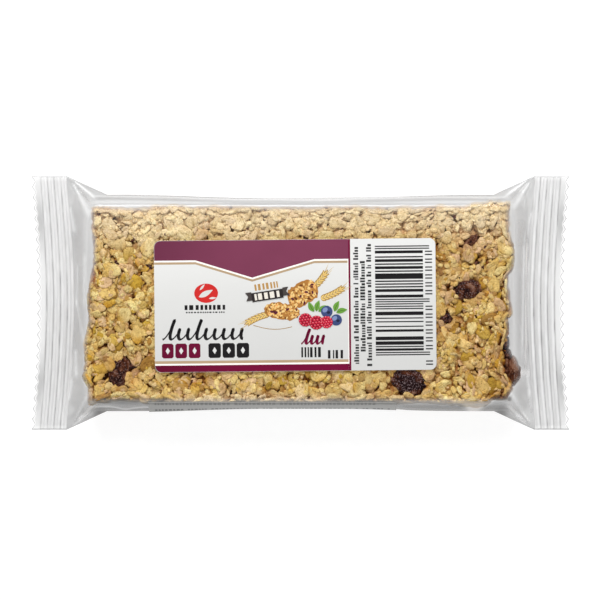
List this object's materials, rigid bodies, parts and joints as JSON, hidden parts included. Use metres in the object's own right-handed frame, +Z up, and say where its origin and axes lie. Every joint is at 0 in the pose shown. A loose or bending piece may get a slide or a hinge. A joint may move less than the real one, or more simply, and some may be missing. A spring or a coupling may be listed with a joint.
{
  "type": "granola bar in a clear sealed pack",
  "caption": "Flat oat bar with dried fruit in a tight clear flow-wrap pack with crimped, pinked end seals, a printed front sticker and a back sticker.",
  "frame": {"origin": "middle of the pack's length and width, on the surface that it lies on", "axes": "+X along the bar, to the right of someone who reads the front sticker; +Y across the bar, to the sticker's top edge; +Z up, out of the front"},
  "size_m": [0.1546, 0.0728, 0.0165],
  "materials": {
    "oats": "baked oat flakes, matt with a little shine from syrup, under clear film",
    "sticker_paper": "coated sticker paper, satin",
    "film": "clear glossy polypropylene film, milky where it is crimped or creased",
    "dried_fruit": "wrinkled dried berries and raisins, dark, slightly waxy",
    "sticker_ink": "flat printing ink under a satin varnish"
  },
  "bodies": {
    "root": {"pack": "oats", "front_sticker": "sticker_paper", "back_sticker": "sticker_paper"}
  },
  "joints": []
}
